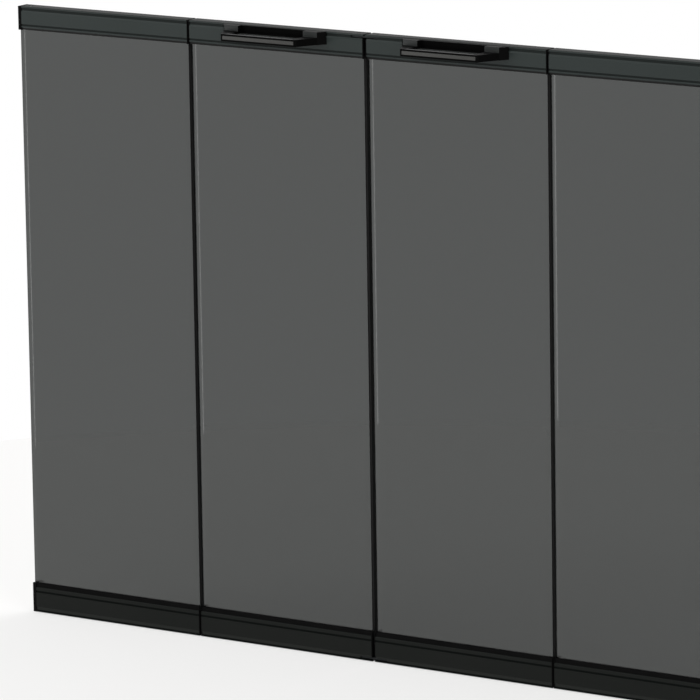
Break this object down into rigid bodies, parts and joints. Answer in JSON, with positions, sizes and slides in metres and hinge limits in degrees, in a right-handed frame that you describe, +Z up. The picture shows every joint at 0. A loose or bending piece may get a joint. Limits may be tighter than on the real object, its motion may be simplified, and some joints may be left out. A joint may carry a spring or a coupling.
{
  "type": "bi-fold glass door set for a fireplace",
  "caption": "Frameless smoked-glass bi-fold door set for a fireplace opening: hinged pairs of leaves with black rails, top handles, pivot pins and guide rollers in slotted tracks.",
  "frame": {"origin": "centre of the rectangle of track screws, in the plane where the tracks meet the opening's stops", "axes": "+X to the right as seen from the room, +Y into the firebox, square to the glass, +Z up"},
  "size_m": [0.916, 0.0588, 0.685],
  "materials": {
    "smoked_glass": "grey-tinted toughened float glass, polished edges",
    "rail_paint": "satin black powder coat on extruded aluminium",
    "black_rubber": "matt black silicone",
    "black_steel": "black phosphated sheet steel",
    "zinc_screws": "zinc-plated steel",
    "black_acetal": "machined black acetal",
    "ferrite": "sintered ferrite",
    "handle_plastic": "semi-gloss black moulding, heat resistant",
    "satin_nickel": "satin nickel strip"
  },
  "bodies": {
    "tracks": {"top_track": "black_steel", "bottom_track": "black_steel", "top_left_pivot_bracket": "black_steel", "top_right_pivot_bracket": "black_steel", "bottom_left_pivot_bracket": "black_steel", "bottom_right_pivot_bracket": "black_steel", "bracket_screws": "zinc_screws", "catch_magnets": "ferrite", "thrust_bushes": "black_acetal"},
    "left_outer_leaf": {"left_outer_glass": "smoked_glass", "left_outer_top_rail": "rail_paint", "left_outer_bottom_rail": "rail_paint", "left_outer_glazing_gaskets": "black_rubber", "left_outer_edge_seals": "black_rubber", "left_outer_end_caps": "black_rubber", "left_outer_screws": "zinc_screws", "left_pivot_pins": "zinc_screws", "left_hinge_outer_plates": "black_steel", "left_hinge_pins": "zinc_screws"},
    "left_inner_leaf": {"left_inner_glass": "smoked_glass", "left_inner_top_rail": "rail_paint", "left_inner_bottom_rail": "rail_paint", "left_inner_glazing_gaskets": "black_rubber", "left_inner_edge_seals": "black_rubber", "left_inner_end_caps": "black_rubber", "left_inner_screws": "zinc_screws", "left_guide_pins": "zinc_screws", "left_hinge_inner_plates": "black_steel", "left_handle": "handle_plastic", "left_handle_inlay": "satin_nickel", "left_handle_screws": "zinc_screws", "left_catch_strike": "zinc_screws"},
    "left_top_roller": {"left_top_roller": "black_acetal"},
    "left_bottom_roller": {"left_bottom_roller": "black_acetal"},
    "right_outer_leaf": {"right_outer_glass": "smoked_glass", "right_outer_top_rail": "rail_paint", "right_outer_bottom_rail": "rail_paint", "right_outer_glazing_gaskets": "black_rubber", "right_outer_edge_seals": "black_rubber", "right_outer_end_caps": "black_rubber", "right_outer_screws": "zinc_screws", "right_pivot_pins": "zinc_screws", "right_hinge_outer_plates": "black_steel", "right_hinge_pins": "zinc_screws"},
    "right_inner_leaf": {"right_inner_glass": "smoked_glass", "right_inner_top_rail": "rail_paint", "right_inner_bottom_rail": "rail_paint", "right_inner_glazing_gaskets": "black_rubber", "right_inner_edge_seals": "black_rubber", "right_inner_end_caps": "black_rubber", "right_inner_screws": "zinc_screws", "right_guide_pins": "zinc_screws", "right_hinge_inner_plates": "black_steel", "right_handle": "handle_plastic", "right_handle_inlay": "satin_nickel", "right_handle_screws": "zinc_screws", "right_catch_strike": "zinc_screws"},
    "right_top_roller": {"right_top_roller": "black_acetal"},
    "right_bottom_roller": {"right_bottom_roller": "black_acetal"}
  },
  "joints": [
    {"name": "left_outer_swing", "type": "hinge", "parent": "tracks", "child": "left_outer_leaf", "pos_m": [-0.446, -0.018, 0], "axis": [0, 0, -1], "range_deg": [0, 85]},
    {"name": "left_inner_fold", "type": "hinge", "parent": "left_outer_leaf", "child": "left_inner_leaf", "pos_m": [-0.229, -0.007, 0], "axis": [0, 0, 1], "range_deg": [0, 170]},
    {"name": "left_top_roller_turn", "type": "hinge", "parent": "left_inner_leaf", "child": "left_top_roller", "pos_m": [-0.012, -0.018, 0.336], "axis": [0, 0, 1], "continuous": true},
    {"name": "left_bottom_roller_turn", "type": "hinge", "parent": "left_inner_leaf", "child": "left_bottom_roller", "pos_m": [-0.012, -0.018, -0.336], "axis": [0, 0, 1], "continuous": true},
    {"name": "right_outer_swing", "type": "hinge", "parent": "tracks", "child": "right_outer_leaf", "pos_m": [0.446, -0.018, 0], "axis": [0, 0, 1], "range_deg": [0, 85]},
    {"name": "right_inner_fold", "type": "hinge", "parent": "right_outer_leaf", "child": "right_inner_leaf", "pos_m": [0.229, -0.007, 0], "axis": [0, 0, -1], "range_deg": [0, 170]},
    {"name": "right_top_roller_turn", "type": "hinge", "parent": "right_inner_leaf", "child": "right_top_roller", "pos_m": [0.012, -0.018, 0.336], "axis": [0, 0, 1], "continuous": true},
    {"name": "right_bottom_roller_turn", "type": "hinge", "parent": "right_inner_leaf", "child": "right_bottom_roller", "pos_m": [0.012, -0.018, -0.336], "axis": [0, 0, 1], "continuous": true}
  ],
  "couplings": [
    {"joint": "left_inner_fold", "follows": "left_outer_swing", "ratio": 2},
    {"joint": "right_inner_fold", "follows": "right_outer_swing", "ratio": 2}
  ]
}
